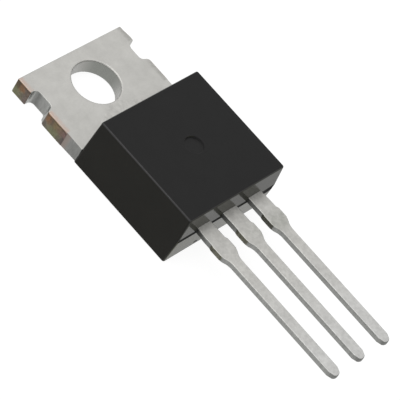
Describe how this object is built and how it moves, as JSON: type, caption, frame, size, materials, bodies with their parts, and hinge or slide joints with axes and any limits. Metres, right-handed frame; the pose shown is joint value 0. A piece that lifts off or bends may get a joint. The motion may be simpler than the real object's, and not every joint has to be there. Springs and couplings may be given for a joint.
{
  "type": "thyristor",
  "caption": "Three-lead power thyristor: drafted black moulding on a notched, tin-plated copper tab with a screw hole, and three flat leads in a row.",
  "frame": {"origin": "centre of the tab's hole on the copper mounting face", "axes": "+Y from the leads to the tab's top edge, +Z out of the moulded front face, +X to the right seen from the front with the tab up; millimetre part lying on its back"},
  "size_m": [0.01, 0.0286, 0.0043],
  "materials": {
    "moulding": "satin black epoxy moulding",
    "tinned_copper": "matte tin plate over copper, bare copper at the cut tie bars",
    "solder": "dull solder",
    "silicon": "polished silicon",
    "bond_wire": "bright aluminium wire"
  },
  "bodies": {
    "root": {"moulded_body": "moulding", "tab_with_anode_lead": "tinned_copper", "cathode_lead": "tinned_copper", "gate_lead": "tinned_copper", "die_solder": "solder", "silicon_die": "silicon", "cathode_wire_1": "bond_wire", "cathode_wire_2": "bond_wire", "gate_wire": "bond_wire"}
  },
  "joints": []
}
